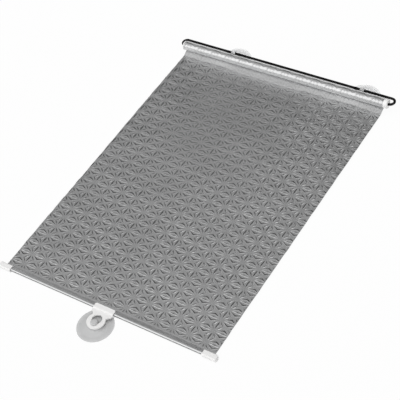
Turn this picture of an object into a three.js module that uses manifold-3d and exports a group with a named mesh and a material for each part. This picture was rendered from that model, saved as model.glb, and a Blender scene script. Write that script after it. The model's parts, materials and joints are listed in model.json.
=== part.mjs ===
// A retractable car-window sunshade, in millimetres, laid out flat with its film pulled out.
// X runs along the roller, Y from the rail to the roller, and Z up from the surface it lies on.
// The origin is the middle of the whole outline, on that surface.

import * as THREE from "three";
import { mergeVertices } from "three/addons/utils/BufferGeometryUtils.js";
import Module from "manifold-3d";

const wasm = await Module();
wasm.setup();

// The gap that is left wherever one piece sits in, on or beside another, and how far a cutting solid
// runs past what it cuts.
const gap = 0.3;
const past = 1;

// The film, one embossed sheet, and the height at which it is stretched over the cups.
const film_width = 400;
const film_thickness = 0.35;
const film_underside = 2.6;

// The star emboss: its pitch, its relief, and where its first column and row lie on the film.
const star_pitch_across = 29.1;
const star_pitch_along = 21.6;
const star_relief = 0.45;
const star_column_from_edge = 27.8;
const star_row_from_rail = 19.3;

// The rail: a rod in the film's welded hem, with a moulded cap on each end.
const rod_radius = 2.45;
const weld_start = 8;
const weld_width = 2.3;
const cap_length = 24;
const cap_past_film = 8;
const cap_wall = 0.6;
const cap_end_wall = 2;
const cap_front_wall = 1.2;
const cap_back_reach = 5.9;
const cap_corner = 2.2;
const cap_low_corner = 0.55;
const cap_mouth_corner = 0.5;
const cap_end_corner = 3;

// The pull clip: a channel round the hem, and a tongue with a ring.
const clip_x = 2;
const clip_width = 37.5;
const clip_top_wall = 1;
const clip_front_wall = 1.4;
const clip_back_reach = 4.9;
const clip_corner = 2.5;
const tongue_thickness = 2.4;
const tongue_reach = 10;
const tongue_slope = 4;
const tongue_neck_half = 12;
const ring_radius = 15;
const ring_distance = 23;
const hole_wide_radius = 8.5;
const hole_wide_distance = 20.3;
const hole_narrow_radius = 4.4;
const hole_narrow_distance = 27;

// The suction cups, pressed down, all of one mould up to the shoulder.
const cup_radius = 30;
const cup_seat_width = 3;
const cup_edge_thickness = 0.8;
const cup_hollow = 2.2;
const cup_shoulder_radius = 6.5;
const cup_shoulder_height = 5.6;
const cup_neck_radius = 3.8;
const cup_head_radius = 6.1;
const cup_head_height = 3.8;
const cup_head_edge = 0.2;
const left_cup_from_bend = 97.75;
const right_cup_from_bend = 55.75;
const loop_thickness = 7;
const loop_wall = 1.25;
const loop_neck_height = 3;
const loop_neck_flare = 0.8;
const loop_neck_flare_height = 1.2;

// The cup's skirt as shares of its radius and height: its hollow below, and its upper side.
const skirt_hollow = [
  [0, 1],
  [0.3, 0.9],
  [0.7, 0.35],
];
const skirt_top = [
  [0.75, 0.12],
  [0.5, 0.4],
  [0.33, 0.78],
];

// The bracket: a bent wire with its stop lugs nipped flat beside each cup.
const wire_radius = 2.25;
const wire_height = 17;
const wire_behind_roller = 14.3;
const hook_depth = 13.5;
const inner_lug_play = 2;
const outer_lug_play = 5.5;
const inner_lug_length = 12;
const inner_lug_width = 7.6;
const outer_lug_length = 5;
const outer_lug_width = 7;
const lug_thickness = 2.7;

// The roller: the tube, its end plugs and the spring works inside its left end.
const roller_distance = 550.2;
const roller_radius = 8.3;
const film_wraps = 2;
const wrap_slack = 0.05;
const tube_wall = 0.6;
const lead_foot = 14.6;
const lead_wrap_angle = 0.25;
const plug_depth = 14;
const plug_collar_radius = 8.2;
const plug_chamfer = 0.8;
const left_collar = 2.5;
const right_collar = 7;
const tube_past_film = 0.4;
const arbor_radius = 3.5;
const arbor_length = 84;
const arbor_boss_radius = 4.3;
const arbor_boss_length = 8;
const arbor_journal_radius = 2.4;
const bush_length = 6;
const spring_wire_radius = 0.45;
const spring_turns = 12;

// Sizes that follow from those above.
const hem_inner_radius = rod_radius + gap;
const hem_radius = hem_inner_radius + film_thickness;
const rail_height = film_underside + hem_radius;
const hem_end = weld_start + weld_width;
const film_middle_x = (left_collar - right_collar) / 2;
const film_left = film_middle_x - film_width / 2;
const film_right = film_middle_x + film_width / 2;
const cutout_radius = hem_radius + gap;
const bend_radius = wire_behind_roller / 2;
const wire_y = roller_distance + wire_behind_roller;
const plug_face = film_width / 2 + tube_past_film + gap + (left_collar + right_collar) / 2;
const bend_x = plug_face + gap;
const left_cup_x = -bend_x + left_cup_from_bend;
const right_cup_x = bend_x - right_cup_from_bend;
const wound_thickness = film_wraps * (film_thickness + wrap_slack);
const tube_radius = roller_radius - wound_thickness - gap;
const tube_bore = tube_radius - tube_wall;
const tube_left = -plug_face + left_collar + gap;
const tube_right = plug_face - right_collar - gap;
const plug_radius = tube_bore - gap;
const wire_bore = wire_radius + gap;
const tongue_underside = cup_shoulder_height + gap;
const tongue_top = tongue_underside + tongue_thickness;
const bottom_cup_distance = hole_narrow_distance + hole_narrow_radius - cup_neck_radius - gap;
const lead_foot_y = roller_distance - lead_foot;

// The middle of the whole outline in Y, from the bottom cup's edge to the wire cups' far edges.
const outline_middle_y = (wire_y + cup_radius - bottom_cup_distance - cup_radius) / 2;

const materials = {
  film: new THREE.MeshStandardMaterial({ color: 0x8c8e90, roughness: 0.35, metalness: 0.7 }),
  white_plastic: new THREE.MeshStandardMaterial({ color: 0xf0f0ee, roughness: 0.4, metalness: 0 }),
  clear_plastic: new THREE.MeshStandardMaterial({ color: 0xb8babb, roughness: 0.25, metalness: 0 }),
  black_coating: new THREE.MeshStandardMaterial({ color: 0x101011, roughness: 0.35, metalness: 0 }),
  steel: new THREE.MeshStandardMaterial({ color: 0xa9abae, roughness: 0.35, metalness: 1 }),
};

// A three.js geometry as a solid that can be joined and cut, with its faces turned outwards.
function solid(geometry) {
  const bare = geometry.clone();
  bare.deleteAttribute("normal");
  bare.deleteAttribute("uv");
  const merged = mergeVertices(bare, 1e-4);
  const corners = Array.from(merged.index.array);
  const kept = [];
  for (let i = 0; i < corners.length; i += 3) {
    const [a, b, c] = corners.slice(i, i + 3);
    if (a !== b && b !== c && c !== a) {
      kept.push(a, b, c);
    }
  }
  const points = new Float32Array(merged.attributes.position.array);
  if (signedVolume(points, kept) < 0) {
    kept.reverse();
  }
  const mesh = new wasm.Mesh({ numProp: 3, vertProperties: points, triVerts: new Uint32Array(kept) });
  return new wasm.Manifold(mesh);
}

// The sum of the signed tetrahedra from the origin to each triangle.
function signedVolume(points, corners) {
  const a = new THREE.Vector3();
  const b = new THREE.Vector3();
  const c = new THREE.Vector3();
  let sum = 0;
  for (let i = 0; i < corners.length; i += 3) {
    a.fromArray(points, corners[i] * 3);
    b.fromArray(points, corners[i + 1] * 3);
    c.fromArray(points, corners[i + 2] * 3);
    sum += a.dot(b.cross(c));
  }
  return sum;
}

// A solid back as a three.js geometry.
function surface(body) {
  const mesh = body.getMesh();
  const geometry = new THREE.BufferGeometry();
  geometry.setAttribute("position", new THREE.BufferAttribute(new Float32Array(mesh.vertProperties), 3));
  geometry.setIndex(Array.from(mesh.triVerts));
  return geometry;
}

// A drawing in the Y and Z plane, drawn out along X from x_start to x_end.
function alongX(shape, x_start, x_end, curve_segments = 12) {
  const geometry = new THREE.ExtrudeGeometry(shape, {
    depth: x_end - x_start,
    bevelEnabled: false,
    curveSegments: curve_segments,
  });
  const turn = new THREE.Matrix4().makeBasis(
    new THREE.Vector3(0, 1, 0),
    new THREE.Vector3(0, 0, 1),
    new THREE.Vector3(1, 0, 0),
  );
  geometry.applyMatrix4(turn);
  geometry.translate(x_start, 0, 0);
  return geometry;
}

// A drawing in the X and Y plane, drawn out upwards from z_start to z_end.
function upwards(shape, z_start, z_end, curve_segments = 12) {
  const geometry = new THREE.ExtrudeGeometry(shape, {
    depth: z_end - z_start,
    bevelEnabled: false,
    curveSegments: curve_segments,
  });
  geometry.translate(0, 0, z_start);
  return geometry;
}

// A profile of [radius, position] pairs turned round X.
function turnedRoundX(profile, segments = 32) {
  const points = profile.map(([radius, x]) => new THREE.Vector2(radius, x));
  const geometry = new THREE.LatheGeometry(points, segments);
  geometry.rotateZ(-Math.PI / 2);
  return geometry;
}

// A profile of [radius, height] pairs turned round Z.
function turnedRoundZ(profile, segments = 32) {
  const points = profile.map(([radius, z]) => new THREE.Vector2(radius, z));
  const geometry = new THREE.LatheGeometry(points, segments);
  geometry.rotateX(Math.PI / 2);
  return geometry;
}

// A named piece, from a solid or from a geometry that is made one first.
function piece(name, body, material) {
  const closed = body instanceof THREE.BufferGeometry ? solid(body) : body;
  const mesh = new THREE.Mesh(surface(closed), material);
  mesh.name = name;
  return mesh;
}

// A loop round the rod's axis in Y and Z: round at the front, flat below, and closing to a thin flap
// behind, which is flap_thickness thick from flap_start on and ends at flap_end.
function hemOutline(radius, flap_start, flap_end, flap_thickness, Outline = THREE.Shape) {
  const flap_top = -radius + flap_thickness;
  const reach = Math.hypot(flap_start, flap_top);
  const touch = Math.atan2(flap_top, flap_start) + Math.acos(radius / reach);
  const outline = new Outline();
  outline.moveTo(0, -radius);
  outline.lineTo(flap_end, -radius);
  if (flap_thickness > 0) {
    outline.lineTo(flap_end, flap_top);
    outline.lineTo(flap_start, flap_top);
  }
  outline.lineTo(radius * Math.cos(touch), radius * Math.sin(touch));
  outline.absarc(0, 0, radius, touch, Math.PI * 1.5, false);
  return outline;
}

// A rectangle in the drawing's plane with its four corners rounded.
function roundedRectangle(left, right, low, high, corners) {
  const [low_left, low_right, high_right, high_left] = corners;
  const outline = new THREE.Shape();
  outline.moveTo(left + low_left, low);
  outline.lineTo(right - low_right, low);
  outline.absarc(right - low_right, low + low_right, low_right, -Math.PI / 2, 0, false);
  outline.lineTo(right, high - high_right);
  outline.absarc(right - high_right, high - high_right, high_right, 0, Math.PI / 2, false);
  outline.lineTo(left + high_left, high);
  outline.absarc(left + high_left, high - high_left, high_left, Math.PI / 2, Math.PI, false);
  outline.lineTo(left, low + low_left);
  outline.absarc(left + low_left, low + low_left, low_left, Math.PI, Math.PI * 1.5, false);
  return outline;
}

// The room that the hem needs inside a cap or the clip, along X.
function hemCutout(x_start, x_end) {
  const far_back = hem_end + cutout_radius;
  const flap = 2 * film_thickness + 2 * gap;
  return solid(alongX(hemOutline(cutout_radius, weld_start + gap, far_back, flap), x_start, x_end, 20));
}

// One star on a tile, as [across, along, raised] with across and along from 0 to 1. Twelve ridges run
// from the flat middle to the tile's rim, where they meet the ridges of the neighbouring stars.
function starTile() {
  const half_across = star_pitch_across / 2;
  const half_along = star_pitch_along / 2;
  const rim = [];
  const quarter = [
    [half_across, 0, 1],
    [half_across, half_across * Math.tan(Math.PI / 12), 0],
    [half_across, half_across * Math.tan(Math.PI / 6), 1],
    [half_across, half_along, 0],
    [half_along / Math.tan(Math.PI / 3), half_along, 1],
    [half_along / Math.tan((5 * Math.PI) / 12), half_along, 0],
  ];
  const fraction = ([x, y, raised]) => [0.5 + x / star_pitch_across, 0.5 + y / star_pitch_along, raised];
  rim.push(...quarter.map(fraction));
  rim.push([0.5, 1, 1]);
  rim.push(...quarter.slice(1).reverse().map(([x, y, r]) => fraction([-x, y, r])));
  rim.push(...quarter.map(([x, y, r]) => fraction([-x, -y, r])));
  rim.push([0.5, 0, 1]);
  rim.push(...quarter.slice(1).reverse().map(([x, y, r]) => fraction([x, -y, r])));
  return rim;
}

// The free stretch of the film, with its stars in relief on the upper side.
function filmSheet() {
  const y_start = hem_end + gap;
  const y_end = lead_foot_y - gap;
  const column_0 = film_left + star_column_from_edge - star_pitch_across / 2;
  const row_0 = star_row_from_rail - star_pitch_along / 2;
  const first_column = Math.floor((film_left - column_0) / star_pitch_across) - 1;
  const last_column = Math.ceil((film_right - column_0) / star_pitch_across) + 1;
  const first_row = Math.floor((y_start - row_0) / star_pitch_along) - 1;
  const last_row = Math.ceil((y_end - row_0) / star_pitch_along) + 1;
  const top = film_thickness;
  const place = (column, row, [u, v, raised]) => [
    column_0 + (column + u) * star_pitch_across,
    row_0 + (row + v) * star_pitch_along,
    top + raised * star_relief,
  ];
  const rim = starTile();
  const middle_x = (film_left + film_right) / 2;
  const middle_y = (y_start + y_end) / 2;
  const corners = [];
  for (let column = first_column; column < last_column; column += 1) {
    for (let row = first_row; row < last_row; row += 1) {
      const centre = place(column, row, [0.5, 0.5, 0]);
      for (let k = 0; k < rim.length; k += 1) {
        const next = rim[(k + 1) % rim.length];
        const a = place(column, row, rim[k]);
        const b = place(column, row, next);
        corners.push(...centre, ...a, ...b);
        const on_left = column === first_column && rim[k][0] === 0 && next[0] === 0;
        const on_right = column === last_column - 1 && rim[k][0] === 1 && next[0] === 1;
        const on_front = row === first_row && rim[k][1] === 0 && next[1] === 0;
        const on_back = row === last_row - 1 && rim[k][1] === 1 && next[1] === 1;
        if (on_left || on_right || on_front || on_back) {
          const a_low = [a[0], a[1], 0];
          const b_low = [b[0], b[1], 0];
          corners.push(...a, ...a_low, ...b_low, ...a, ...b_low, ...b);
          corners.push(...b_low, ...a_low, middle_x, middle_y, 0);
        }
      }
    }
  }
  const plate = new THREE.BufferGeometry();
  plate.setAttribute("position", new THREE.Float32BufferAttribute(corners, 3));
  const outline = new THREE.BoxGeometry(film_width, y_end - y_start, 4 * (film_thickness + star_relief));
  outline.translate(film_middle_x, middle_y, 0);
  return solid(plate).intersect(solid(outline));
}

function filmHem() {
  const outline = hemOutline(hem_radius, weld_start, hem_end, 2 * film_thickness);
  const inside = hemOutline(
    hem_inner_radius,
    weld_start - film_thickness / 2,
    weld_start - film_thickness / 2,
    0,
    THREE.Path,
  );
  outline.holes.push(inside);
  return alongX(outline, film_left, film_right, 20);
}

// The stretch of film from the flat up to the roller's underside, as a thin strip in Y and Z. It rises
// along a straight line that touches the roller, and follows the roller for a short way.
function filmLead() {
  const centre_z = wire_height - film_underside;
  const around = roller_radius + gap + film_thickness / 2;
  const distance = Math.hypot(lead_foot, centre_z - film_thickness / 2);
  const towards = Math.atan2(centre_z - film_thickness / 2, lead_foot);
  const rise = towards - Math.asin(around / distance);
  const outline = new THREE.Shape();
  const below = around + film_thickness / 2;
  const above = around - film_thickness / 2;
  const touch = rise - Math.PI / 2;
  outline.moveTo(-lead_foot, -centre_z);
  outline.absarc(0, 0, below, touch, touch + lead_wrap_angle, false);
  outline.absarc(0, 0, above, touch + lead_wrap_angle, touch, true);
  outline.lineTo(-lead_foot, -centre_z + film_thickness);
  return alongX(outline, film_left, film_right, 4);
}

// What is left of the film on the tube when it is pulled right out, as one wound solid whose outside
// steps in by one thickness for each turn.
function filmRoll() {
  const steps = 44;
  const seam_width = 1e-3;
  const outline = new THREE.Shape();
  for (let k = 0; k <= steps; k += 1) {
    const turned = k / steps;
    const radius = roller_radius - film_thickness * turned;
    const angle = turned * 2 * Math.PI * (1 - seam_width) - Math.PI / 3;
    const point = [radius * Math.cos(angle), radius * Math.sin(angle)];
    if (k === 0) {
      outline.moveTo(...point);
    } else {
      outline.lineTo(...point);
    }
  }
  const inside = new THREE.Path();
  inside.absarc(0, 0, tube_radius + gap, 0, 2 * Math.PI, false);
  outline.holes.push(inside);
  return alongX(outline, film_left, film_right, 22);
}

function rollerTube() {
  const outline = new THREE.Shape();
  outline.absarc(0, 0, tube_radius, 0, 2 * Math.PI, false);
  const inside = new THREE.Path();
  inside.absarc(0, 0, tube_bore, 0, 2 * Math.PI, false);
  outline.holes.push(inside);
  return alongX(outline, tube_left, tube_right, 18);
}

// The right plug turns on the wire's hook, which sits in its blind bore.
function rightPlug() {
  const bore_end = plug_face - hook_depth - gap;
  const inner_end = Math.min(tube_right - plug_depth, bore_end - plug_chamfer);
  return turnedRoundX([
    [0, inner_end],
    [plug_radius, inner_end],
    [plug_radius, tube_right + gap],
    [plug_collar_radius, tube_right + gap],
    [plug_collar_radius, plug_face - plug_chamfer],
    [plug_collar_radius - plug_chamfer, plug_face],
    [wire_bore, plug_face],
    [wire_bore, bore_end],
    [0, bore_end],
  ]);
}

// The left plug turns on the arbor, and its nose carries the first turns of the spring.
const nose_start = tube_left + plug_depth;
const nose_end = nose_start + arbor_boss_length;
function leftPlug() {
  const bore = arbor_radius + gap;
  return turnedRoundX([
    [bore, -plug_face],
    [plug_collar_radius - plug_chamfer, -plug_face],
    [plug_collar_radius, -plug_face + plug_chamfer],
    [plug_collar_radius, tube_left - gap],
    [plug_radius, tube_left - gap],
    [plug_radius, nose_start],
    [arbor_boss_radius + gap, nose_start],
    [arbor_boss_radius + gap, nose_end],
    [bore, nose_end],
    [bore, -plug_face],
  ]);
}

// The arbor is held still by the wire's left hook, and its boss carries the spring's last turns.
const arbor_end = -plug_face + arbor_length;
const boss_end = arbor_end - bush_length;
const boss_start = boss_end - arbor_boss_length;
function springArbor() {
  const bore_end = -plug_face + hook_depth + gap;
  return turnedRoundX(
    [
      [0, bore_end],
      [wire_bore, bore_end],
      [wire_bore, -plug_face],
      [arbor_radius, -plug_face],
      [arbor_radius, boss_start],
      [arbor_boss_radius + gap, boss_start],
      [arbor_boss_radius + gap, boss_end - gap],
      [arbor_journal_radius, boss_end - gap],
      [arbor_journal_radius, arbor_end],
      [0, arbor_end],
    ],
    24,
  );
}

function arborBush() {
  return turnedRoundX(
    [
      [arbor_journal_radius + gap, boss_end],
      [plug_radius, boss_end],
      [plug_radius, boss_end + bush_length],
      [arbor_journal_radius + gap, boss_end + bush_length],
      [arbor_journal_radius + gap, boss_end],
    ],
    24,
  );
}

// The helix of the spring's wire round X.
class SpringPath extends THREE.Curve {
  getPoint(t, target = new THREE.Vector3()) {
    const coil_radius = arbor_boss_radius + 2 * gap + spring_wire_radius;
    const first = nose_start + spring_wire_radius + gap;
    const last = boss_end - gap - spring_wire_radius;
    const angle = t * spring_turns * 2 * Math.PI;
    return target.set(
      first + t * (last - first),
      coil_radius * Math.cos(angle),
      coil_radius * Math.sin(angle),
    );
  }
}

function torsionSpring() {
  const section = new THREE.Shape();
  section.absarc(0, 0, spring_wire_radius, 0, 2 * Math.PI, false);
  return new THREE.ExtrudeGeometry(section, {
    steps: spring_turns * 9,
    curveSegments: 2.5,
    extrudePath: new SpringPath(),
  });
}

function railRod() {
  const half = film_width / 2 + cap_past_film - cap_end_wall - gap;
  const outline = new THREE.Shape();
  outline.absarc(0, 0, rod_radius, 0, 2 * Math.PI, false);
  return alongX(outline, film_middle_x - half, film_middle_x + half, 12);
}

// A cap for the right end, with a blind socket for the hemmed rod and a slot for the film behind it.
function railCap() {
  const inner_x = film_width / 2 + cap_past_film - cap_length;
  const outer_x = film_width / 2 + cap_past_film;
  const half_height = cutout_radius + cap_wall;
  const front = -cutout_radius - cap_front_wall;
  const section = roundedRectangle(front, cap_back_reach, -half_height, half_height, [
    cap_corner,
    cap_low_corner,
    cap_corner,
    cap_corner,
  ]);
  const plan = roundedRectangle(inner_x, outer_x, front, cap_back_reach, [
    cap_mouth_corner,
    cap_end_corner,
    cap_end_corner,
    cap_mouth_corner,
  ]);
  const block = solid(alongX(section, inner_x, outer_x, 3));
  const trimmed = block.intersect(solid(upwards(plan, -half_height - past, half_height + past, 3)));
  return trimmed.subtract(hemCutout(inner_x - past, outer_x - cap_end_wall));
}

// The egg-shaped hole: a wide circle and a narrow one, joined by the lines that touch both.
function eggHole() {
  const spacing = hole_narrow_distance - hole_wide_distance;
  const lean = Math.asin((hole_wide_radius - hole_narrow_radius) / spacing);
  const hole = new THREE.Shape();
  hole.absarc(0, -hole_wide_distance, hole_wide_radius, -lean, Math.PI + lean, false);
  hole.absarc(0, -hole_narrow_distance, hole_narrow_radius, Math.PI + lean, 2 * Math.PI - lean, false);
  return hole;
}

function pullClip() {
  const half = clip_width / 2;
  const top = cutout_radius + clip_top_wall;
  const bottom = -cutout_radius - cap_wall;
  const front = -cutout_radius - clip_front_wall;
  const low = tongue_underside - rail_height;
  const high = tongue_top - rail_height;
  const section = roundedRectangle(front, clip_back_reach, bottom, top, [
    cap_corner,
    cap_low_corner,
    cap_low_corner,
    cap_corner,
  ]);
  const plan = roundedRectangle(-half, half, front, clip_back_reach, [
    cap_mouth_corner,
    cap_mouth_corner,
    clip_corner,
    clip_corner,
  ]);
  const block = solid(alongX(section, -half, half, 4));
  const channel = block.intersect(solid(upwards(plan, bottom - past, top + past, 4)));
  const tongue = new THREE.Shape();
  const corner_x = half - clip_corner;
  const corner_y = clip_corner - tongue_reach;
  tongue.moveTo(-half, front + clip_front_wall / 2);
  tongue.lineTo(-half, corner_y);
  tongue.absarc(-corner_x, corner_y, clip_corner, Math.PI, Math.PI * 1.5, false);
  tongue.lineTo(-tongue_neck_half, -tongue_reach - tongue_slope);
  tongue.lineTo(tongue_neck_half, -tongue_reach - tongue_slope);
  tongue.lineTo(corner_x, -tongue_reach);
  tongue.absarc(corner_x, corner_y, clip_corner, Math.PI * 1.5, Math.PI * 2, false);
  tongue.lineTo(half, front + clip_front_wall / 2);
  const ring = new THREE.Shape();
  ring.absarc(0, -ring_distance, ring_radius, 0, 2 * Math.PI, false);
  const flat = solid(upwards(tongue, low, high, 5)).add(solid(upwards(ring, low, high, 20)));
  const whole = channel.subtract(hemCutout(-half - past, half + past)).add(flat);
  return whole.subtract(solid(upwards(eggHole(), low - past, high + past, 12)));
}

// The pressed-down skirt of a cup up to its shoulder, from the axis below round to the shoulder.
function skirtProfile() {
  const seat = cup_radius - cup_seat_width;
  const rise = cup_shoulder_height - cup_edge_thickness;
  return [
    ...skirt_hollow.map(([out, up]) => [seat * out, cup_hollow * up]),
    [seat, 0],
    [cup_radius, 0],
    [cup_radius, cup_edge_thickness],
    ...skirt_top.map(([out, up]) => [cup_radius * out, cup_edge_thickness + rise * up]),
    [cup_shoulder_radius, cup_shoulder_height],
  ];
}

function bottomCup() {
  const head = tongue_top + gap;
  return turnedRoundZ([
    ...skirtProfile(),
    [cup_neck_radius, cup_shoulder_height],
    [cup_neck_radius, head],
    [cup_head_radius - cup_head_edge, head],
    [cup_head_radius, head + cup_head_edge],
    [cup_head_radius, head + cup_head_height * 0.4],
    [cup_head_radius * 0.75, head + cup_head_height * 0.86],
    [0, head + cup_head_height],
  ]);
}

// A wire cup has an upright loop on its shoulder, and the wire runs through the loop.
function wireCup() {
  const loop_radius = wire_bore + loop_wall;
  const neck_top = cup_shoulder_height + loop_neck_height;
  const skirt = solid(
    turnedRoundZ([
      ...skirtProfile(),
      [cup_neck_radius + loop_neck_flare, cup_shoulder_height + loop_neck_flare_height],
      [cup_neck_radius, neck_top],
      [0, neck_top],
    ]),
  );
  const loop = new THREE.Shape();
  loop.moveTo(-loop_radius, cup_shoulder_height - past);
  loop.lineTo(loop_radius, cup_shoulder_height - past);
  loop.absarc(0, wire_height, loop_radius, 0, Math.PI, false);
  const hole = new THREE.Shape();
  hole.absarc(0, wire_height, wire_bore, 0, 2 * Math.PI, false);
  const half = loop_thickness / 2;
  return skirt
    .add(solid(alongX(loop, -half, half, 10)))
    .subtract(solid(alongX(hole, -half - past, half + past, 8)));
}

// One hook at the wire's right end: a half circle in the plane of the wire and the roller's axis, and a
// straight tip that runs back into the roller.
function hook() {
  const path = new THREE.CurvePath();
  path.add(
    new THREE.LineCurve3(
      new THREE.Vector3(bend_x - past, wire_behind_roller, 0),
      new THREE.Vector3(bend_x, wire_behind_roller, 0),
    ),
  );
  const turn = new THREE.Path();
  turn.absarc(bend_x, bend_radius, bend_radius, Math.PI / 2, -Math.PI / 2, true);
  const points = turn.getPoints(10).map((p) => new THREE.Vector3(p.x, p.y, 0));
  for (let k = 1; k < points.length; k += 1) {
    path.add(new THREE.LineCurve3(points[k - 1], points[k]));
  }
  const tip = new THREE.Vector3(plug_face - hook_depth, 0, 0);
  path.add(new THREE.LineCurve3(points[points.length - 1], tip));
  const section = new THREE.Shape();
  section.absarc(0, 0, wire_radius, 0, 2 * Math.PI, false);
  return new THREE.ExtrudeGeometry(section, { steps: 20, curveSegments: 5, extrudePath: path });
}

// A stop lug, where the wire is nipped flat and spreads upwards and downwards.
function lug(x, length, width) {
  const geometry = new THREE.SphereGeometry(1, 10, 7);
  geometry.scale(length / 2, lug_thickness / 2, width / 2);
  geometry.translate(x, wire_behind_roller, 0);
  return solid(geometry);
}

function bracketWire() {
  const straight = new THREE.CylinderGeometry(wire_radius, wire_radius, 2 * bend_x, 10);
  straight.rotateZ(Math.PI / 2);
  straight.translate(0, wire_behind_roller, 0);
  const right = hook();
  const left = hook();
  left.scale(-1, 1, 1);
  let wire = solid(straight).add(solid(right)).add(solid(left));
  const inner_reach = loop_thickness / 2 + inner_lug_play + inner_lug_length / 2;
  const outer_reach = loop_thickness / 2 + outer_lug_play + outer_lug_length / 2;
  for (const [cup_x, inwards] of [
    [left_cup_x, 1],
    [right_cup_x, -1],
  ]) {
    wire = wire.add(lug(cup_x + inwards * inner_reach, inner_lug_length, inner_lug_width));
    wire = wire.add(lug(cup_x - inwards * outer_reach, outer_lug_length, outer_lug_width));
  }
  return wire;
}

const layout = new THREE.Group();
layout.position.y = -outline_middle_y;

// The roller, with the bracket's wire and the film's lead, which keep to its axis.
const roller = new THREE.Group();
roller.position.set(0, roller_distance, wire_height);
roller.add(piece("bracket_wire", bracketWire(), materials.black_coating));
roller.add(piece("roller_tube", rollerTube(), materials.steel));
roller.add(piece("end_plug_left", leftPlug(), materials.white_plastic));
roller.add(piece("end_plug_right", rightPlug(), materials.white_plastic));
roller.add(piece("spring_arbor", springArbor(), materials.white_plastic));
roller.add(piece("arbor_bush", arborBush(), materials.white_plastic));
roller.add(piece("torsion_spring", torsionSpring(), materials.steel));
roller.add(piece("film_roll", filmRoll(), materials.film));
roller.add(piece("film_lead", filmLead(), materials.film));
layout.add(roller);

// The rail, the hem round it, its caps and the clip that slides on it.
const rail = new THREE.Group();
rail.position.z = rail_height;
rail.add(piece("rail_rod", railRod(), materials.steel));
rail.add(piece("film_hem", filmHem(), materials.film));
const right_cap = piece("rail_cap_right", railCap(), materials.white_plastic);
right_cap.position.x = film_middle_x;
const left_cap = piece("rail_cap_left", railCap().mirror([1, 0, 0]), materials.white_plastic);
left_cap.position.x = film_middle_x;
const clip = piece("pull_clip", pullClip(), materials.white_plastic);
clip.position.x = clip_x;
rail.add(right_cap, left_cap, clip);
layout.add(rail);

const sheet = piece("film_sheet", filmSheet(), materials.film);
sheet.position.z = film_underside;
layout.add(sheet);

const bottom_cup = piece("bottom_cup", bottomCup(), materials.clear_plastic);
bottom_cup.position.set(clip_x, -bottom_cup_distance, 0);
layout.add(bottom_cup);

for (const [name, x] of [
  ["wire_cup_left", left_cup_x],
  ["wire_cup_right", right_cup_x],
]) {
  const cup = piece(name, wireCup(), materials.clear_plastic);
  cup.position.set(x, wire_y, 0);
  layout.add(cup);
}

const sunshade = new THREE.Group();
sunshade.add(layout);

export default sunshade;
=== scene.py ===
# %% [markdown]
# # A retractable car-window sunshade
#
# The shade lies on a table with its film pulled out. A spring roller in a bent black wire sits at
# the far end, and a rail with white caps, a pull clip and a suction cup at the near end. The packed
# model gives every hard piece its shape and its place. This lesson dresses it: the film gets its
# pressed stars, and each material gets the finish that the real one has.

import json

import bmesh
import bpy
import numpy as np
from mathutils import Matrix, Vector


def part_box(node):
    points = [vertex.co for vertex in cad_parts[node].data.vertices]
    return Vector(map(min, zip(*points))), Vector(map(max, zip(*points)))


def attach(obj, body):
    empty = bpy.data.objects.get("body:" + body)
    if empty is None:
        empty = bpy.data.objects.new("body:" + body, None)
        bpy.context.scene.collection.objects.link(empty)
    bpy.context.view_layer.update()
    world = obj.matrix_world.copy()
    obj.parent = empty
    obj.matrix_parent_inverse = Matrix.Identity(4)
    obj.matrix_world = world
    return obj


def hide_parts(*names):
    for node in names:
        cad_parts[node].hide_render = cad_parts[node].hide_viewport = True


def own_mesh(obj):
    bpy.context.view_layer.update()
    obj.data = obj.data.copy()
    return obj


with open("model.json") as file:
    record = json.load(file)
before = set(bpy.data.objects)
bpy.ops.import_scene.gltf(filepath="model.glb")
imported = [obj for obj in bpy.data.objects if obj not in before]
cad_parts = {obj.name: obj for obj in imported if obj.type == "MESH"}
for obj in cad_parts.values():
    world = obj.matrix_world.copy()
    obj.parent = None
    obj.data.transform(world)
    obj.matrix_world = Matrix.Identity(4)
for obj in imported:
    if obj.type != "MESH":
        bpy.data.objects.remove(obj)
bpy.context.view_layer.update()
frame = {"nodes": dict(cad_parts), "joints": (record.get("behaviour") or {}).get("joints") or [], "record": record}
MM = 0.001
TURN = 2 * np.pi

# %% [markdown]
# Everything is placed from the boxes of the solids, so a change of the model moves the film with
# it. The rod in the rail is the zero line of the film, as it is on a drawing of the shade.

# %% Measure what the film is tied to


def middle(node, axis):
    """The middle of a solid's box along one axis, in millimetres."""
    low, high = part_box(node)
    return 0.5 * (low[axis] + high[axis]) / MM


film_low, film_high = [np.array(corner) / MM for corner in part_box("film_hem")]
sheet_low = np.array(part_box("film_sheet")[0]) / MM
lead_low = np.array(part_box("film_lead")[0]) / MM
roll_low, roll_high = [np.array(corner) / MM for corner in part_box("film_roll")]
rail_y = middle("rail_rod", 1)
rail_z = middle("rail_rod", 2)
roll_y = middle("roller_tube", 1)
roll_z = middle("roller_tube", 2)
film_left, film_right = film_low[0], film_high[0]
film_under = sheet_low[2]
print("film from", round(film_left, 2), "to", round(film_right, 2), "rail at", round(rail_y, 2))
print("roller at", round(roll_y, 2), round(roll_z, 2), "film underside", round(film_under, 2))

# %% [markdown]
# ## The camera
#
# The photograph was taken from the front right and above, with a long lens. The numbers come from a
# least-squares fit of a pinhole camera to the film's edges, the rows of stars, the roller and the
# rail. They are stated from the film's near left corner, so they are moved by where that corner is.

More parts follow.
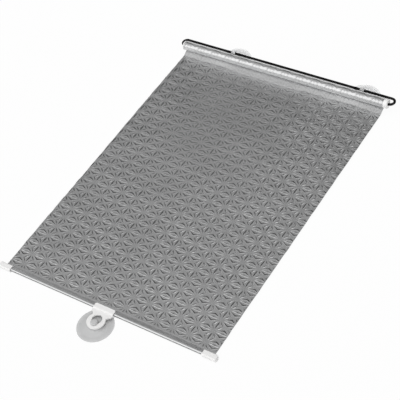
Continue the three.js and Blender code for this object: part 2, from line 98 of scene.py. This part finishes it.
# %% Camera
camera_data = bpy.data.cameras.new("camera")
camera = bpy.data.objects.new("camera", camera_data)
bpy.context.scene.collection.objects.link(camera)
SENSOR_WIDTH = 36
FOCAL_PIXELS = 1163.93
PICTURE_PIXELS = 400
camera_data.sensor_width = SENSOR_WIDTH
camera_data.lens = SENSOR_WIDTH * FOCAL_PIXELS / PICTURE_PIXELS
camera_data.clip_end = 20
RIGHT = Vector((0.829810, 0.529187, -0.177135))
UP = Vector((-0.302074, 0.692846, 0.654763))
BACK = Vector((0.469219, -0.489821, 0.734784))
EYE_FROM_CORNER = Vector((1104.39, -674.43, 1391.10))
eye = (EYE_FROM_CORNER + Vector((film_left, rail_y, 0))) * MM
camera.matrix_world = Matrix.Translation(eye) @ Matrix((RIGHT, UP, BACK)).transposed().to_4x4()
bpy.context.scene.camera = camera
print("camera at", [round(c, 3) for c in eye], "lens", round(camera_data.lens, 1))

# %% [markdown]
# ## Shader maths as expressions
#
# A procedural finish is a formula over a point of the surface. The small class below wraps a
# socket, so that `noise * 0.2 + 0.4` adds the Math nodes that the formula stands for. One method
# makes any other node from its type, its settings and the values or links of its sockets.

# %% A material as an expression


class Value:
    """A socket that can be added and multiplied in Python."""

    def __init__(self, nodes, socket):
        self.nodes = nodes
        self.socket = socket

    def __add__(self, other):
        return self.nodes.maths("ADD", self, other)

    def __mul__(self, other):
        return self.nodes.maths("MULTIPLY", self, other)


class Nodes:
    """A node tree whose nodes are made by type, settings and inputs."""

    def __init__(self, tree):
        self.tree = tree

    def maths(self, operation, first, second=0.0):
        return self.node("ShaderNodeMath", {"operation": operation}, {0: first, 1: second})

    def node(self, kind, settings, inputs, output=0):
        made = self.tree.nodes.new(kind)
        for key, value in settings.items():
            setattr(made, key, value)
        for key, value in inputs.items():
            if isinstance(value, Value):
                self.tree.links.new(value.socket, made.inputs[key])
            else:
                made.inputs[key].default_value = value
        return Value(self, made.outputs[output])

    def split(self, vector):
        """The three parts of a vector."""
        part = self.node("ShaderNodeSeparateXYZ", {}, {"Vector": vector}).socket.node.outputs
        return [Value(self, part[axis]) for axis in "XYZ"]

    def smooth(self, value, start, end, low, high):
        """A smooth step from low to high, as value goes from start to end."""
        inputs = {"Value": value, "From Min": start, "From Max": end, "To Min": low, "To Max": high}
        return self.node("ShaderNodeMapRange", {"interpolation_type": "SMOOTHSTEP"}, inputs)


class Shader(Nodes):
    """A material whose nodes feed one Principled shader."""

    def __init__(self, name, **constants):
        self.material = bpy.data.materials.new(name)
        self.material.use_nodes = True
        super().__init__(self.material.node_tree)
        self.principled = self.tree.nodes["Principled BSDF"]
        self.output = self.tree.nodes["Material Output"]
        for socket, value in constants.items():
            self.principled.inputs[socket.replace("_", " ")].default_value = value
        self.place = self.node("ShaderNodeTexCoord", {}, {}, "Object")

    def noise(self, scale, detail=2.0, stretch=(1, 1, 1), roughness=0.5):
        """Noise from 0 to 1 over the object's own place, in features of about 1/scale metres."""
        place = self.node("ShaderNodeMapping", {}, {"Vector": self.place, "Scale": stretch})
        inputs = {"Vector": place, "Scale": scale, "Detail": detail, "Roughness": roughness}
        return self.node("ShaderNodeTexNoise", {}, inputs, "Fac")

    def mix(self, factor, first, second):
        """A colour between two colours."""
        inputs = {"Factor": factor, 6: first, 7: second}
        return self.node("ShaderNodeMix", {"data_type": "RGBA"}, inputs, 2)

    def bump(self, height, distance, strength=1.0):
        inputs = {"Height": height, "Distance": distance, "Strength": strength}
        return self.node("ShaderNodeBump", {}, inputs)

    def feed(self, **inputs):
        for socket, value in inputs.items():
            self.tree.links.new(value.socket, self.principled.inputs[socket.replace("_", " ")])
        return self.material


def grey(level, warmth=0.0):
    """A grey colour, a little warmer above 0 and cooler below."""
    return (level * (1 + warmth), level, level * (1 - warmth), 1)


# %% [markdown]
# ## Silver film
#
# The film is clear plastic with a breath of aluminium on it. It mirrors the room, but softly, so it
# is a metal of middle roughness. Fine grain from the rollers that pressed it blurs it further, and the
# metal is a little thinner in places. Painted shade darkens it along the petals, for the dark sides
# that the light gives them.
#
# A row of short dark dashes is drawn high on the hem's front. Their pitch, their height and the
# height of their top over the rod's axis are in millimetres.

# %% Film material
MARK_PITCH = 2.1
MARK_HEIGHT = 1.7
MARK_TOP = 1.9
MARK_LEVEL = -0.35


def film_finish():
    """Silver film: a soft metal with pressed grain, and painted shade along the petals."""
    shader = Shader("silver_film", Metallic=1.0)
    cloud = shader.noise(14, 3)
    grain = shader.noise(700, 2)
    # The shade attribute is painted shade: it darkens the silver towards dark grey along the petals.
    painted_shade = shader.node("ShaderNodeAttribute", {"attribute_name": "shade"}, {}, "Fac")
    mottle = shader.noise(420, 3, roughness=0.7)
    silver = shader.mix(cloud * 0.4 + mottle * 0.6, grey(0.48, -0.004), grey(0.78, -0.004))
    return shader.feed(
        Base_Color=shader.mix(painted_shade, silver, grey(0.12)),
        Roughness=cloud * 0.06 + grain * 0.06 + 0.18,
        Normal=shader.bump(grain, 0.0002),
    )


def hem_finish():
    """The welded hem: fine lines along it, and a row of short dark dashes high on its front."""
    shader = Shader("silver_film_hem", Metallic=1.0)
    side, depth, height = shader.split(shader.place)
    lines = shader.noise(1, 2, (12, 900, 900))
    beat = shader.maths("SINE", side * (TURN / MARK_PITCH / MM))
    mark = shader.maths("GREATER_THAN", beat, MARK_LEVEL)
    top = rail_z + MARK_TOP
    above = shader.maths("GREATER_THAN", height, (top - MARK_HEIGHT) * MM)
    band = above * shader.maths("LESS_THAN", height, top * MM)
    front = shader.maths("LESS_THAN", depth, rail_y * MM)
    silver = shader.mix(lines, grey(0.5, -0.004), grey(0.84, -0.004))
    return shader.feed(
        Base_Color=shader.mix(mark * band * front, silver, grey(0.05)),
        Roughness=lines * 0.1 + 0.33,
        Normal=shader.bump(lines, 0.0001),
    )


film_material = film_finish()
hem_material = hem_finish()
print("made:", film_material.name, "and", hem_material.name)

# %% [markdown]
# ## White mouldings, clear cups, coated wire and plain steel
#
# The caps, the clip and the plugs are glossy white plastic, with the faint waviness that a moulding
# has. The cups are all one soft clear plastic, greyish and milky; the lower one is given a darker,
# less clear copy of it as painted shade. The wire has a smooth black coat, and the rod, the tube and
# the spring are plain drawn steel with fine lines along them.

# %% The other materials


def plastic_material():
    shader = Shader("white_plastic", Specular_IOR_Level=0.5, Coat_Roughness=0.15)
    wave = shader.noise(60, 2)
    speck = shader.noise(700, 2)
    return shader.feed(
        Base_Color=shader.mix(wave, grey(0.8, 0.006), grey(0.86, 0.004)),
        Roughness=speck * 0.12 + 0.26,
        Normal=shader.bump(wave + speck * 0.1, 0.0002),
    )


def cup_material(name, level, clear):
    """Soft plastic that is milky white to some level, and lets a share of the light through."""
    shader = Shader(name, Specular_IOR_Level=0.5, IOR=1.45, Transmission_Weight=clear)
    wave = shader.noise(45, 2)
    speck = shader.noise(500, 3)
    return shader.feed(
        Base_Color=shader.mix(wave, grey(level - 0.05, -0.004), grey(level + 0.05, -0.004)),
        Roughness=speck * 0.1 + 0.18,
        Normal=shader.bump(wave + speck * 0.05, 0.0003),
    )


def wire_material():
    shader = Shader("black_coating", Specular_IOR_Level=0.12)
    wave = shader.noise(120, 2, (1, 3, 3))
    return shader.feed(
        Base_Color=shader.mix(wave, grey(0.003), grey(0.006)),
        Roughness=wave * 0.15 + 0.35,
        Normal=shader.bump(wave, 0.0001),
    )


def steel_material():
    shader = Shader("drawn_steel", Metallic=1.0)
    lines = shader.noise(400, 2, (0.02, 1, 1))
    return shader.feed(
        Base_Color=shader.mix(lines, grey(0.5), grey(0.6)),
        Roughness=lines * 0.15 + 0.25,
        Normal=shader.bump(lines, 0.00005),
    )


finishes = {
    "film": film_material,
    "white_plastic": plastic_material(),
    "clear_plastic": cup_material("clear_plastic", 0.58, 0.12),
    "black_coating": wire_material(),
    "steel": steel_material(),
}
print("finishes:", ", ".join(sorted(finishes)))

# %% Give every solid the finish that its record names
slots = {part["node"]: part["material_slot"] for part in frame["record"]["subparts"]}
for name, node in frame["nodes"].items():
    node.data.materials.clear()
    node.data.materials.append(finishes[slots[name]])
# The wire cups get a paler, clearer copy of the cups' plastic; the lower cup keeps the darker copy as painted
# shade.
wire_cup_lit_copy = cup_material("clear_plastic_lit_copy", 0.93, 0.6)
for name in ("wire_cup_left", "wire_cup_right"):
    frame["nodes"][name].data.materials[0] = wire_cup_lit_copy
print("dressed:", len(slots), "solids")

# %% [markdown]
# ## The film's stars
#
# The film is pressed all over with stars of twelve petals, in rows and columns. The tile of one
# star is wider than it is long, and the star is stretched with it. The tile is worked out once, on
# three rings round its middle, and then carried to every row and column by adding the tile's place
# to all its points at the same time. On each ring a petal has three points, its crest and its two
# feet, so its sides are flat facets, one lit and one dark, as on the real film. Most petals run on
# into the next star. Those at 60 and 120 degrees are short and end before the tile's border.

# %% One star as rings of points
# In millimetres. The columns lean by LEAN millimetres for each one along the film.
ACROSS = 29.11
ALONG = 21.33
COLUMN = film_left + 25.8
ROW = 19.8
LEAN = 0.02
RELIEF = 0.5
THICKNESS = 0.35
PETALS = 12
JOIN_WITHIN = 0.02
CUT_WITHIN = 0.01

ring_share = np.array([0.3, 0.64, 1.0])
ring_width = np.radians([3.0, 8.5, 7.5])
# By the petal's direction in degrees, the crest's value on each of the three rings. The heights on
# the last ring have to agree at 60 and 120, and at 30 and 150, which meet at the tiles' borders.
crest_height = {
    0: (0.0, 0.85, 0.8),
    30: (0.0, 1.0, 0.8),
    60: (0.0, 1.0, 0.1),
    90: (0.0, 0.9, 0.9),
    120: (0.0, 1.0, 0.1),
    150: (0.0, 1.0, 0.8),
}
# Painted shade on each crest, by the petal's direction, where the light leaves the petals dark. It is stronger at
# 120 than at 60 degrees, as the light falls from one side.
crest_shade = {
    0: (0.0, 0.1, 0.1),
    30: (0.5, 1.0, 0.9),
    60: (0.3, 0.4, 0.0),
    90: (0.5, 0.9, 0.7),
    120: (0.7, 1.0, 0.2),
    150: (0.5, 1.0, 0.9),
}
CREST_LEAN = {30: -0.2, 150: -0.2}


def star_tile():
    """The points and triangles of one star's tile, as (x, y, share of the relief, shade).

    All angles are those of a square tile, which is then stretched to the real one. A point at angle
    a on a ring lies at the ring's share of the way to the square's edge, which is at a half over
    the larger of |cos a| and |sin a|. The crests are at whole steps of 30 degrees, and the feet at
    plus and minus the ring's width from them. The petals beside the rows lean a little towards the
    rail. Four more points are the tile's corners. The shade is painted shade along the petals'
    crests, standing in for the dark sides that the light gives them.
    """
    degrees = 360 // PETALS * np.arange(PETALS)
    kind = degrees % 180
    away = np.sign(np.cos(np.radians(degrees)))
    lean = np.array([CREST_LEAN.get(k, 0) for k in kind]) * away
    spread = np.stack([np.full(PETALS, -1), lean, np.full(PETALS, 1)], -1)
    angle = np.radians(degrees)[None, :, None] + ring_width[:, None, None] * spread
    crest = np.array([crest_height[k] for k in kind]).T
    painted_shade = np.array([crest_shade[k] for k in kind]).T
    height = crest[:, :, None] * np.array([0, 1, 0])
    shade = painted_shade[:, :, None] * np.array([0, 1, 0])
    edge = 0.5 / np.maximum(np.abs(np.cos(angle)), np.abs(np.sin(angle)))
    reach = ring_share[:, None, None] * edge
    x, y = reach * np.cos(angle) * ACROSS, reach * np.sin(angle) * ALONG
    ring = np.stack([x, y, height, shade], -1).reshape(-1, 4)
    corners = np.array([[1, 1], [-1, 1], [-1, -1], [1, -1]]) * [ACROSS / 2, ALONG / 2]
    points = np.vstack([np.zeros((1, 4)), ring, np.pad(corners, ((0, 0), (0, 2)))])
    around = 3 * PETALS
    here = np.arange(around)
    after = (here + 1) % around
    faces = [np.column_stack([np.zeros(around, int), 1 + here, 1 + after])]
    for k in range(len(ring_share) - 1):
        low, high = 1 + k * around, 1 + (k + 1) * around
        faces.append(np.column_stack([low + here, high + here, high + after]))
        faces.append(np.column_stack([low + here, high + after, low + after]))
    rim = 1 + (len(ring_share) - 1) * around
    corner = np.arange(4)
    foot = rim + 3 * (1 + 3 * corner) + 2
    faces.append(np.column_stack([foot, rim + around + corner, foot + 1]))
    return points, np.vstack(faces)


tile_points, tile_faces = star_tile()
print("one star:", len(tile_points), "points,", len(tile_faces), "triangles")

# %% [markdown]
# ## A patch of film
#
# A patch is the film between two lengths along it. The tiles are laid out flat, joined, and cut to
# the film's width and the patch's ends. The flat patch is then carried along a path: a point at
# length s goes to the path's point at s, lifted along the path's normal. The underside is the same
# surface one film thickness lower, and a strip round the rim closes the two.

# %% Lay out, cut and close a patch


def flat_patch(start, end, creases):
    """The points (x, s, share of relief, shade) and triangles of the film from start to end.

    The triangles are cut again along each crease, so that the patch can bend there.
    """
    first = np.floor((film_left - COLUMN - LEAN * end) / ACROSS)
    columns = np.arange(first, np.ceil((film_right - COLUMN) / ACROSS) + 1)
    rows = np.arange(np.floor((start - ROW) / ALONG), np.ceil((end - ROW) / ALONG) + 1)
    column, row = [a.ravel() for a in np.meshgrid(COLUMN + columns * ACROSS, ROW + rows * ALONG)]
    place = np.column_stack([column, row, np.zeros((len(row), 2))])
    points = (place[:, None, :] + tile_points[None]).reshape(-1, 4)
    points[:, 0] += LEAN * points[:, 1]
    faces = (np.arange(len(row))[:, None, None] * len(tile_points) + tile_faces).reshape(-1, 3)
    mesh = bpy.data.meshes.new("patch")
    mesh.from_pydata(points[:, :3], [], faces.tolist())
    shade = mesh.attributes.new("shade", "FLOAT", "POINT")
    shade.data.foreach_set("value", points[:, 3])
    work = bmesh.new()
    work.from_mesh(mesh)
    bmesh.ops.remove_doubles(work, verts=work.verts, dist=JOIN_WITHIN)
    cuts = [
        ((film_left, 0, 0), (-1, 0, 0), True),
        ((film_right, 0, 0), (1, 0, 0), True),
        ((0, start, 0), (0, -1, 0), True),
        ((0, end, 0), (0, 1, 0), True),
    ]
    cuts += [((0, crease, 0), (0, 1, 0), False) for crease in creases]
    for point, outwards, trim in cuts:
        everything = work.verts[:] + work.edges[:] + work.faces[:]
        bmesh.ops.bisect_plane(
            work,
            geom=everything,
            dist=CUT_WITHIN,
            plane_co=point,
            plane_no=outwards,
            clear_outer=trim,
        )
    bmesh.ops.triangulate(work, faces=work.faces)
    work.to_mesh(mesh)
    work.free()
    count = len(mesh.vertices)
    flat = np.empty(count * 3)
    mesh.vertices.foreach_get("co", flat)
    painted_shade = np.empty(count)
    mesh.attributes["shade"].data.foreach_get("value", painted_shade)
    corners = np.empty(len(mesh.polygons) * 3, int)
    mesh.polygons.foreach_get("vertices", corners)
    bpy.data.meshes.remove(mesh)
    return np.column_stack([flat.reshape(-1, 3), painted_shade]), corners.reshape(-1, 3)


def open_edges(faces):
    """The directed edges that only one triangle uses."""
    edges = np.vstack([faces[:, [0, 1]], faces[:, [1, 2]], faces[:, [2, 0]]])
    key = np.sort(edges, axis=1)
    _, first, uses = np.unique(key, axis=0, return_index=True, return_counts=True)
    return edges[first[uses == 1]]


def film_piece(name, span, creases, material, bend, relief, shading):
    """A closed sheet of film: both sides carried along the path, and a strip round the rim.

    The span is where it starts and ends along the film. film_path(s) gives the film's middle as y,
    z and its normal as y, z. A point moves along the normal by bend(x, s) plus its share of
    relief(x, s), and by half the thickness up or down. The last function scales the tile's painted
    shade.
    """
    start, end = span
    flat, faces = flat_patch(start, end, creases)
    x, s, share, shade = flat.T
    y, z, normal_y, normal_z = film_path(s)
    middle_lift = bend(x, s) + share * relief(x, s)
    sides = []
    for side in (0.5, -0.5):
        lift = middle_lift + side * THICKNESS
        sides.append(np.column_stack([x, y + normal_y * lift, z + normal_z * lift]))
    points = np.vstack(sides)
    count = len(flat)
    a, b = open_edges(faces).T
    strip = [np.column_stack([a, a + count, b + count]), np.column_stack([a, b + count, b])]
    triangles = np.vstack([faces, faces[:, ::-1] + count, *strip])
    mesh = bpy.data.meshes.new(name)
    mesh.from_pydata(points * MM, [], triangles.tolist())
    # The tile's painted shade, scaled for this piece.
    painted_shade = np.tile(shade * shading(x, s), 2)
    mesh.attributes.new("shade", "FLOAT", "POINT").data.foreach_set("value", painted_shade)
    mesh.validate()
    piece = bpy.data.objects.new(name, mesh)
    bpy.context.scene.collection.objects.link(piece)
    mesh.materials.append(material)
    print(name, "from", round(start, 1), "to", round(end, 1), "mm:", len(triangles), "triangles")
    return piece


# %% [markdown]
# ## The film's path
#
# Seen from the side, the film starts at the end of its hem. It runs forward over the rod, down
# round its front and back below it, lies flat for half a metre, climbs a slope and winds onto the
# roller. The path is one list of points with its length measured along it, so the stars run on over
# every bend. Lengths start from 0 straight below the rod.

# %% The path from the hem to the roller
HEM_OVERLAP = 0.15
WELD = 2.3
FLAT_START = 2
TURNS = 1.9
WRAP_GAP = 0.05
SMALL = 0.15
HEM_END = sheet_low[1] - rail_y - HEM_OVERLAP
FOOT = lead_low[1] - rail_y
flat_z = film_under + THICKNESS / 2
hem_radius = rail_z - flat_z
roll_outside = 0.5 * (roll_high[2] - roll_low[2])
roll_radius = roll_outside - THICKNESS / 2
wrap_step = THICKNESS + WRAP_GAP


def arc(centre_y, centre_z, start, end, radius_start, radius_end, count):
    """Points on a circle, or a spiral where the radius changes, from one angle to another."""
    angle = np.linspace(start, end, count)
    radius = np.linspace(radius_start, radius_end, count)
    return np.column_stack([centre_y + radius * np.cos(angle), centre_z + radius * np.sin(angle)])


weld_y = HEM_END - WELD
weld_z = flat_z + THICKNESS
reach = np.hypot(weld_y, weld_z - rail_z)
touch = np.arctan2(weld_z - rail_z, weld_y) + np.arccos(hem_radius / reach)
hem_arc = arc(0, rail_z, touch, 1.5 * np.pi, hem_radius, hem_radius, 60)

centre_y, centre_z = roll_y - rail_y, roll_z
towards = np.arctan2(centre_z - flat_z, centre_y - FOOT)
far = np.hypot(centre_z - flat_z, centre_y - FOOT)
rise = towards - np.arcsin(roll_radius / far)
roll_arc = arc(
    centre_y,
    centre_z,
    rise - np.pi / 2,
    rise - np.pi / 2 + TURNS * TURN,
    roll_radius,
    roll_radius - wrap_step * TURNS,
    260,
)
weld = [[HEM_END, weld_z], [weld_y, weld_z]]
flat_y = np.linspace(FLAT_START, FOOT, 40)
flat_part = np.column_stack([flat_y, np.full(len(flat_y), flat_z)])
line = np.vstack([weld, hem_arc, flat_part, roll_arc])
UNDER_ROD = len(weld) + len(hem_arc) - 1
ROLL_TOUCH = len(line) - len(roll_arc)
steps = np.hypot(*np.diff(line, axis=0).T)
along = np.concatenate([[0], np.cumsum(steps)])
along -= along[UNDER_ROD]
print("hem", round(HEM_END - along[0], 1), "mm, whole film", round(along[-1] - along[0], 1), "mm")


def film_path(s):
    """The film's middle at length s along it, and its normal, as y, z, normal y, normal z."""
    y, z = np.interp(s, along, line[:, 0]), np.interp(s, along, line[:, 1])
    ahead = np.clip(s + SMALL, along[0], along[-1])
    behind = np.clip(s - SMALL, along[0], along[-1])
    tangent_y = np.interp(ahead, along, line[:, 0]) - np.interp(behind, along, line[:, 0])
    tangent_z = np.interp(ahead, along, line[:, 1]) - np.interp(behind, along, line[:, 1])
    size = np.hypot(tangent_y, tangent_z)
    return y + rail_y, z, -tangent_z / size, tangent_y / size


# %% [markdown]
# The film is stretched, but it isn't a plate. It has long low waves between the rail and the
# roller, small ripples along its edges, and an uneven crease where it starts to climb. These are
# sums of a few sine waves that die away where the film is held. All lengths are in millimetres.

# %% The film's waves
LEAD_START = FOOT - 4.5
ROLL_START = float(along[ROLL_TOUCH])
slope_length = ROLL_START - FOOT
slope_height = slope_length * np.sin(rise)
BULGE = 0.25


def held(s, start, end, width):
    """0 at both ends of a stretch and 1 inside it, with a smooth rise over width."""
    share = np.clip(np.minimum(s - start, end - s) / width, 0, 1)
    return share * share * (3 - 2 * share)


def pressed(x, s):
    """How deeply the stars are pressed: least towards the roller and left of the middle."""
    across = (x - film_left) / (film_right - film_left)
    faint = np.exp(-(((across - 0.36) / 0.3) ** 2) - (((s - 430) / 170) ** 2))
    patches = np.sin(TURN * (2.1 * across + s / 170)) * np.sin(TURN * (s / 230 - 0.9 * across))
    return np.clip(1.05 - 0.6 * faint + 0.12 * patches, 0.2, 1.2)


def climb(s, foot):
    """How high the slope is at s, from a soft start at its foot to its end on the roll.

    The run past the foot is softened to (run + sqrt(run^2 + 0.4)) / 2, which is never negative.
    Its share of the whole slope is bowed up by BULGE times share times (1 - share).
    """
    run = s - foot
    soft = 0.5 * (run + np.sqrt(run * run + 0.4))
    share = np.minimum(soft / (ROLL_START - foot), 1)
    return slope_height * (share + BULGE * share * (1 - share))


def waves(x, s):
    """How far the film lies off its path: long and short waves, ripples and a wandering foot.

    The waves are products of a sine along the film and one across it, the ripples die away from the
    edges as exp(-distance / 14 mm), and the foot of the slope moves by up to 3 mm along the film.
    """
    across = (x - film_left) / (film_right - film_left)
    long_wave = 0.55 * np.sin(TURN * (s / 310 + 0.6 * across)) * np.sin(TURN * (0.8 * across + 0.1))
    short_wave = 0.16 * np.sin(TURN * (s / 95 - 1.7 * across)) * np.sin(TURN * (2.3 * across))
    edge = np.exp(-(x - film_left) / 14) + np.exp(-(film_right - x) / 14)
    ripple = 0.28 * edge * (np.sin(TURN * s / 47) + 0.6 * np.sin(TURN * s / 29 + 1))
    flat_part = (long_wave + short_wave + ripple + 0.3) * held(s, HEM_END, FOOT - 8, 60)
    wander = 2.0 * np.sin(TURN * 1.4 * across + 0.6) + 1.0 * np.sin(TURN * 4.6 * across + 2)
    near = held(s, FOOT - 30, ROLL_START, 5)
    straight = slope_height * np.clip((s - FOOT) / slope_length, 0, 1)
    foot = near * (climb(s, FOOT + wander) - straight)
    ridge = 0.12 * np.exp(-(((s - FOOT - wander + 1.5) / 2.2) ** 2)) * near
    return flat_part + foot + ridge


def still(x, s):
    """Zero everywhere: the piece keeps to its path, and gets no painted shade."""
    return np.zeros_like(x)


def full_relief(x, s):
    """The stars' height on the free film: pressed flatter along the weld and on the slope."""
    weld = 0.25 + 0.75 * np.clip((s - HEM_END) / 6, 0, 1)
    slope = 1 - 0.75 * np.clip((s - FOOT + 3) / 4, 0, 1)
    return RELIEF * weld * slope * pressed(x, s)


def free_film_shading(x, s):
    """Painted shade as deep as the stars are pressed."""
    return full_relief(x, s) / RELIEF


def roll_shading(x, s):
    """The petals on the roll get only a little painted shade."""
    return np.full_like(x, 0.2)


def hem_relief(x, s):
    """The hem is pulled smooth round the rod, with only a trace of the stars."""
    return np.full_like(x, -0.04 * RELIEF)


def roll_relief(x, s):
    """On the roll only the outer turn shows, and its stars stand out of it."""
    outer = np.clip((ROLL_START + TURN * roll_radius - s) / 3, 0, 1)
    return -0.7 * RELIEF * outer


# %% Make the film's four pieces
HEM_STEP = 0.8
FOOT_STEP = 1.5
LEAD_STEP = 1.0
OUTER_STEP = 1.3
INNER_STEP = 2 * OUTER_STEP
hem_start, roll_end = float(along[0]), float(along[-1])
hem_creases = np.arange(hem_start + HEM_STEP, HEM_END - 0.4, HEM_STEP)
foot_creases = np.arange(FOOT - 14, LEAD_START - 0.5, FOOT_STEP)
lead_creases = np.arange(LEAD_START + LEAD_STEP, ROLL_START - 0.6, LEAD_STEP)
outer_turn = np.arange(ROLL_START + OUTER_STEP, ROLL_START + TURN * roll_radius, OUTER_STEP)
inner_turn = np.arange(outer_turn[-1] + INNER_STEP, roll_end - 1, INNER_STEP)
sheet = film_piece(
    "film_sheet_stars",
    (HEM_END, LEAD_START),
    foot_creases,
    film_material,
    bend=waves,
    relief=full_relief,
    shading=free_film_shading,
)
lead = film_piece(
    "film_lead_stars",
    (LEAD_START, ROLL_START),
    lead_creases,
    film_material,
    bend=waves,
    relief=full_relief,
    shading=free_film_shading,
)
hem = film_piece(
    "film_hem_loop",
    (hem_start, HEM_END),
    hem_creases,
    hem_material,
    bend=still,
    relief=hem_relief,
    shading=still,
)
roll = film_piece(
    "film_roll_wraps",
    (ROLL_START, roll_end),
    np.concatenate([outer_turn, inner_turn]),
    film_material,
    bend=still,
    relief=roll_relief,
    shading=roll_shading,
)

# %% [markdown]
# The free film winds up as the rail comes in, and no rigid piece can do that. Here it rides on the
# bracket with the lead.

# %% Say what each piece of film rides on and stands for
travel = max(j["range_m"][1] for j in frame["joints"] if j["name"] == "rail_slide") / MM
free_length = LEAD_START - HEM_END

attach(sheet, "bracket")
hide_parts("film_sheet")
1 - travel / free_length
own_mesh(sheet)
free_length * MM

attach(lead, "bracket")
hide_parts("film_lead")

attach(hem, "rail")
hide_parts("film_hem")

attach(roll, "roller")
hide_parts("film_roll")
print("free film", round(free_length, 1), "mm, travel", round(travel, 1), "mm")

# %% [markdown]
# ## The studio
#
# The photograph's background is plain white. A large pale floor gives that, and keeps the shadow.
# Where the floor is seen, straight on, in a mirror or through a cup, most of its look is plain
# white light of strength 1, so it reads as white without more light on the object.

# %% Floor
FLOOR_REACH = 6.0
SEEN_WHITE = 0.95
floor_mesh = bpy.data.meshes.new("floor")
floor_corners = np.array([(-1, -1, 0), (1, -1, 0), (1, 1, 0), (-1, 1, 0)]) * FLOOR_REACH
floor_mesh.from_pydata(floor_corners.tolist(), [], [(0, 1, 2, 3)])
floor = bpy.data.objects.new("floor", floor_mesh)
bpy.context.scene.collection.objects.link(floor)
floor_shader = Shader("pale_floor", Base_Color=grey(0.8), Roughness=0.8)
light_path = floor_shader.node("ShaderNodeLightPath", {}, {}, "Is Camera Ray")
path_outputs = light_path.socket.node.outputs
seen = light_path
for kind in ("Is Glossy Ray", "Is Transmission Ray"):
    seen = floor_shader.maths("MAXIMUM", seen, Value(floor_shader, path_outputs[kind]))
white = floor_shader.node("ShaderNodeEmission", {}, {"Color": (1, 1, 1, 1), "Strength": 1.0})
matt = Value(floor_shader, floor_shader.principled.outputs[0])
mixed = floor_shader.node("ShaderNodeMixShader", {}, {0: seen * SEEN_WHITE, 1: matt, 2: white})
floor_shader.tree.links.new(mixed.socket, floor_shader.output.inputs["Surface"])
floor_mesh.materials.append(floor_shader.material)
print("floor of", 2 * FLOOR_REACH, "m")

# %% [markdown]
# The film is a mirror, so the room has to be right as well as the lamp. Turning from the back
# horizon over the top to the front one, the room is light, then dark, middle grey where the flat
# film looks, and bright overhead and in front. Low at the back it is dim to the left and the right
# of where the film looks, so the petals' sides turn dark or bright where they lean away from the
# flat. Two bright things stand to the right of that: a low pane, which lights the slivers that face
# it, and a wall that reaches higher up.
#
# In the numbers, a turn goes from 0 at the back horizon to 1 at the front one, and the side is the
# direction's x.

# %% World
world = bpy.data.worlds.new("studio")
bpy.context.scene.world = world
world.use_nodes = True
room = Nodes(world.node_tree)
direction = room.node("ShaderNodeTexCoord", {}, {}, "Generated")
side_x, depth_y, height_z = room.split(direction)
turn = room.maths("ARCTAN2", height_z, depth_y) * (1 / np.pi)
stops = [
    (0.00, 0.85),
    (0.07, 0.75),
    (0.12, 0.05),
    (0.21, 0.04),
    (0.27, 0.44),
    (0.36, 0.46),
    (0.46, 0.58),
    (0.56, 0.72),
    (0.63, 0.95),
    (0.70, 1.45),
    (0.93, 1.45),
    (0.96, 0.50),
    (1.00, 0.15),
]
ramp = room.node("ShaderNodeValToRGB", {}, {"Fac": turn}, "Color")
elements = ramp.socket.node.color_ramp.elements
ramp.socket.node.color_ramp.interpolation = "EASE"
for k, (place, level) in enumerate(stops):
    element = elements[k] if k < 2 else elements.new(place)
    element.position = place
    element.color = (level, level, level, 1)
DIM = 0.15
right_edge = room.smooth(side_x, -0.12, -0.3, DIM, 1.0)
left_edge = room.smooth(side_x, -0.78, -0.64, DIM, 1.0)
front = room.smooth(turn, 0.36, 0.45, 0.0, 1.0)
opening = room.maths("MAXIMUM", right_edge * left_edge, front)


def patch_of_room(level, side_stops, turn_stops):
    """A soft-edged patch of light: four stops across it and four up it, from dark to dark."""
    value = level
    for coordinate, (start, full, fading, end) in [(side_x, side_stops), (turn, turn_stops)]:
        value = room.smooth(coordinate, start, full, 0.0, 1.0) * value
        value = room.smooth(coordinate, fading, end, 1.0, 0.0) * value
    return value


pane = patch_of_room(1.3, (-0.22, -0.12, 0.15, 0.3), (0.13, 0.155, 0.215, 0.24))
wall = patch_of_room(0.8, (-0.06, 0.02, 0.2, 0.3), (0.24, 0.3, 0.55, 0.65))
strength = opening * ramp + pane + wall
background = world.node_tree.nodes["Background"]
background.inputs["Color"].default_value = (1, 1, 1, 1)
world.node_tree.links.new(strength.socket, background.inputs["Strength"])
print("room of", len(stops), "stops, a pane and a wall")

# %% [markdown]
# One soft lamp overhead lights the tops of the white mouldings more than their fronts. The film
# doesn't mirror it, as the real studio's light isn't seen in the film either.

# %% Lamp
lamp_data = bpy.data.lights.new("key", "AREA")
lamp_data.shape = "RECTANGLE"
lamp_data.size, lamp_data.size_y, lamp_data.energy = 2.0, 1.6, 14
lamp = bpy.data.objects.new("key", lamp_data)
bpy.context.scene.collection.objects.link(lamp)
lamp_place = Vector((-0.5, 0.4, 2.2))
facing = (-lamp_place).to_track_quat("-Z", "Y").to_matrix().to_4x4()
lamp.matrix_world = Matrix.Translation(lamp_place) @ facing
lamp.visible_glossy = False
bpy.context.scene.view_settings.view_transform = "Standard"
print("lamp at", tuple(round(c, 2) for c in lamp_place), "of", lamp_data.energy, "W")
